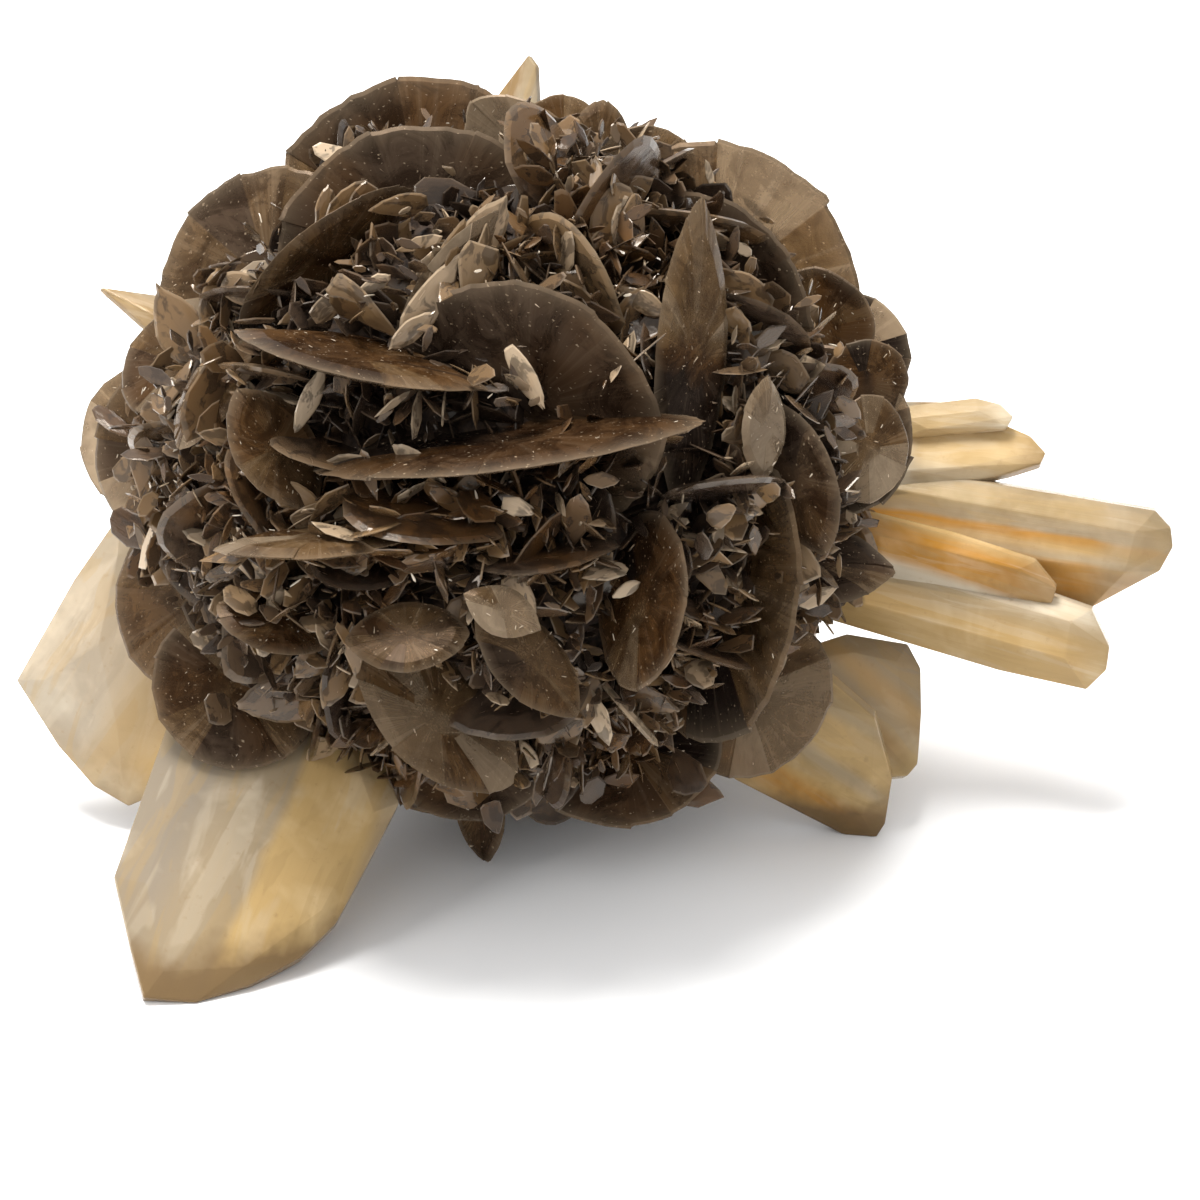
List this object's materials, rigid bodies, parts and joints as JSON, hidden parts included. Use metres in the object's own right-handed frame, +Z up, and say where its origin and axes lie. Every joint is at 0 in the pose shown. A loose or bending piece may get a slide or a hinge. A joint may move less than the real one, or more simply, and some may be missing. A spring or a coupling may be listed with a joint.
{
  "type": "selenite specimen",
  "caption": "A ball-shaped rose of smoky brown selenite blades, grown round flat and prismatic honey-coloured selenite crystals that stand out at its sides and foot.",
  "frame": {"origin": "centre of the bounding box's base, on the table that the specimen rests on", "axes": "+Z up, +X to the right as seen from the front, along the greatest length, and the front towards -Y"},
  "size_m": [0.1537, 0.1, 0.0965],
  "materials": {
    "smoky_selenite": "glassy, smoky brown, see-through at thin rims",
    "honey_selenite": "glassy to pearly, milky honey colour"
  },
  "bodies": {
    "root": {"rose": "smoky_selenite", "honey_blade_front": "honey_selenite", "honey_blade_left": "honey_selenite", "honey_blades_low_right": "honey_selenite", "honey_cluster_right": "honey_selenite", "honey_spike_top": "honey_selenite", "honey_spike_left": "honey_selenite"}
  },
  "joints": []
}
